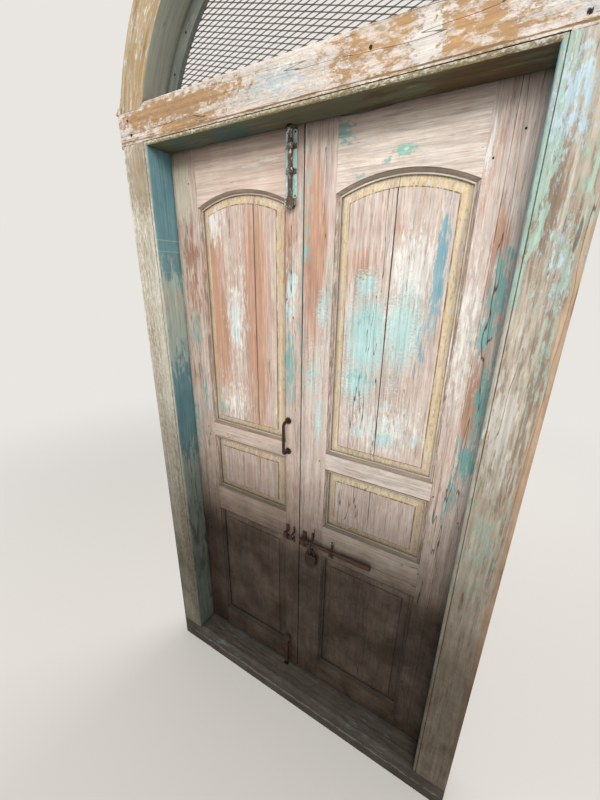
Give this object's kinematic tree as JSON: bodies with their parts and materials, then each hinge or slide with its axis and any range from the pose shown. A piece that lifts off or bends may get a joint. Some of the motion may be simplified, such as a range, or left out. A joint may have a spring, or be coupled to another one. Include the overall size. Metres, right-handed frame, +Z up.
{
  "type": "arched double-leaf wooden door in its frame",
  "caption": "Worn double-leaf panelled wooden door in a beaded frame, with an arched mesh over-light, iron bolts, a sliding rod and a padlock.",
  "frame": {"origin": "centre of the sill's underside", "axes": "+X along the door to the right of a viewer who faces the pictured side, +Y from that side to the back, +Z up"},
  "size_m": [1.26, 0.141, 2.591],
  "materials": {
    "frame_timber": "worn cream, ochre and teal paint over grey-brown timber",
    "arch_timber": "worn ochre and grey-green paint",
    "leaf_timber": "pinkish whitewash worn through to red-brown timber, with teal remains",
    "panel_timber": "whitewash and turquoise remains over red-brown timber, ochre bevels",
    "mesh_steel": "dull brown-grey",
    "rusty_iron": "rusted, with paint remains"
  },
  "bodies": {
    "frame": {"left_jamb": "frame_timber", "right_jamb": "frame_timber", "head_beam": "frame_timber", "sill": "frame_timber", "arch_left": "arch_timber", "arch_crown": "arch_timber", "arch_right": "arch_timber", "arch_strip": "arch_timber", "beam_strip": "frame_timber", "over_light_mesh": "mesh_steel", "strip_nails": "rusty_iron", "hinge_pins": "rusty_iron", "left_lower_hinge_frame_flap": "rusty_iron", "left_middle_hinge_frame_flap": "rusty_iron", "left_upper_hinge_frame_flap": "rusty_iron", "right_lower_hinge_frame_flap": "rusty_iron", "right_middle_hinge_frame_flap": "rusty_iron", "right_upper_hinge_frame_flap": "rusty_iron"},
    "left_leaf": {"left_bottom_panel": "panel_timber", "left_bottom_rail": "leaf_timber", "left_hinge_stile": "leaf_timber", "left_leaf_nails": "rusty_iron", "left_left_board": "panel_timber", "left_lower_hinge_leaf_flap": "rusty_iron", "left_lower_lock_rail": "leaf_timber", "left_meeting_stile": "leaf_timber", "left_middle_hinge_leaf_flap": "rusty_iron", "left_middle_panel": "panel_timber", "left_right_board": "panel_timber", "left_top_rail": "leaf_timber", "left_upper_hinge_leaf_flap": "rusty_iron", "left_upper_lock_rail": "leaf_timber", "top_bolt_plate": "rusty_iron", "top_bolt_straps": "rusty_iron", "bottom_bolt_plate": "rusty_iron", "bottom_bolt_straps": "rusty_iron", "rod_keepers": "rusty_iron", "pull_handle": "rusty_iron"},
    "right_leaf": {"right_bottom_panel": "panel_timber", "right_bottom_rail": "leaf_timber", "right_hinge_stile": "leaf_timber", "right_leaf_nails": "rusty_iron", "right_left_board": "panel_timber", "right_lower_hinge_leaf_flap": "rusty_iron", "right_lower_lock_rail": "leaf_timber", "right_meeting_stile": "leaf_timber", "right_middle_hinge_leaf_flap": "rusty_iron", "right_middle_panel": "panel_timber", "right_right_board": "panel_timber", "right_stile_strip": "leaf_timber", "right_top_rail": "leaf_timber", "right_upper_hinge_leaf_flap": "rusty_iron", "right_upper_lock_rail": "leaf_timber", "rod_guides": "rusty_iron", "padlock_staple": "rusty_iron"},
    "top_bolt": {"top_bolt": "rusty_iron"},
    "bottom_bolt": {"bottom_bolt": "rusty_iron"},
    "sliding_rod": {"sliding_rod": "rusty_iron"},
    "shackle": {"shackle": "rusty_iron"},
    "padlock_case": {"padlock_case": "rusty_iron"}
  },
  "joints": [
    {"name": "left_leaf_hinge", "type": "hinge", "parent": "frame", "child": "left_leaf", "pos_m": [-0.514, 0.0705, 1.071], "axis": [0, 0, 1], "range_deg": [0, 100]},
    {"name": "right_leaf_hinge", "type": "hinge", "parent": "frame", "child": "right_leaf", "pos_m": [0.514, 0.0705, 1.071], "axis": [0, 0, -1], "range_deg": [0, 100]},
    {"name": "top_bolt_slide", "type": "slide", "parent": "left_leaf", "child": "top_bolt", "axis": [0, 0, 1], "range_m": [0, 0.022]},
    {"name": "bottom_bolt_slide", "type": "slide", "parent": "left_leaf", "child": "bottom_bolt", "axis": [0, 0, -1], "range_m": [0, 0.02]},
    {"name": "rod_slide", "type": "slide", "parent": "right_leaf", "child": "sliding_rod", "axis": [-1, 0, 0], "range_m": [0, 0.092]},
    {"name": "padlock_swing", "type": "hinge", "parent": "right_leaf", "child": "shackle", "pos_m": [0.04275, 0.0103, 0.7468], "axis": [0, 1, 0], "range_deg": [-30, 30]},
    {"name": "padlock_open", "type": "hinge", "parent": "shackle", "child": "padlock_case", "pos_m": [0.02975, 0.0103, 0.7328], "axis": [0, 1, 0], "range_deg": [0, 80]}
  ]
}
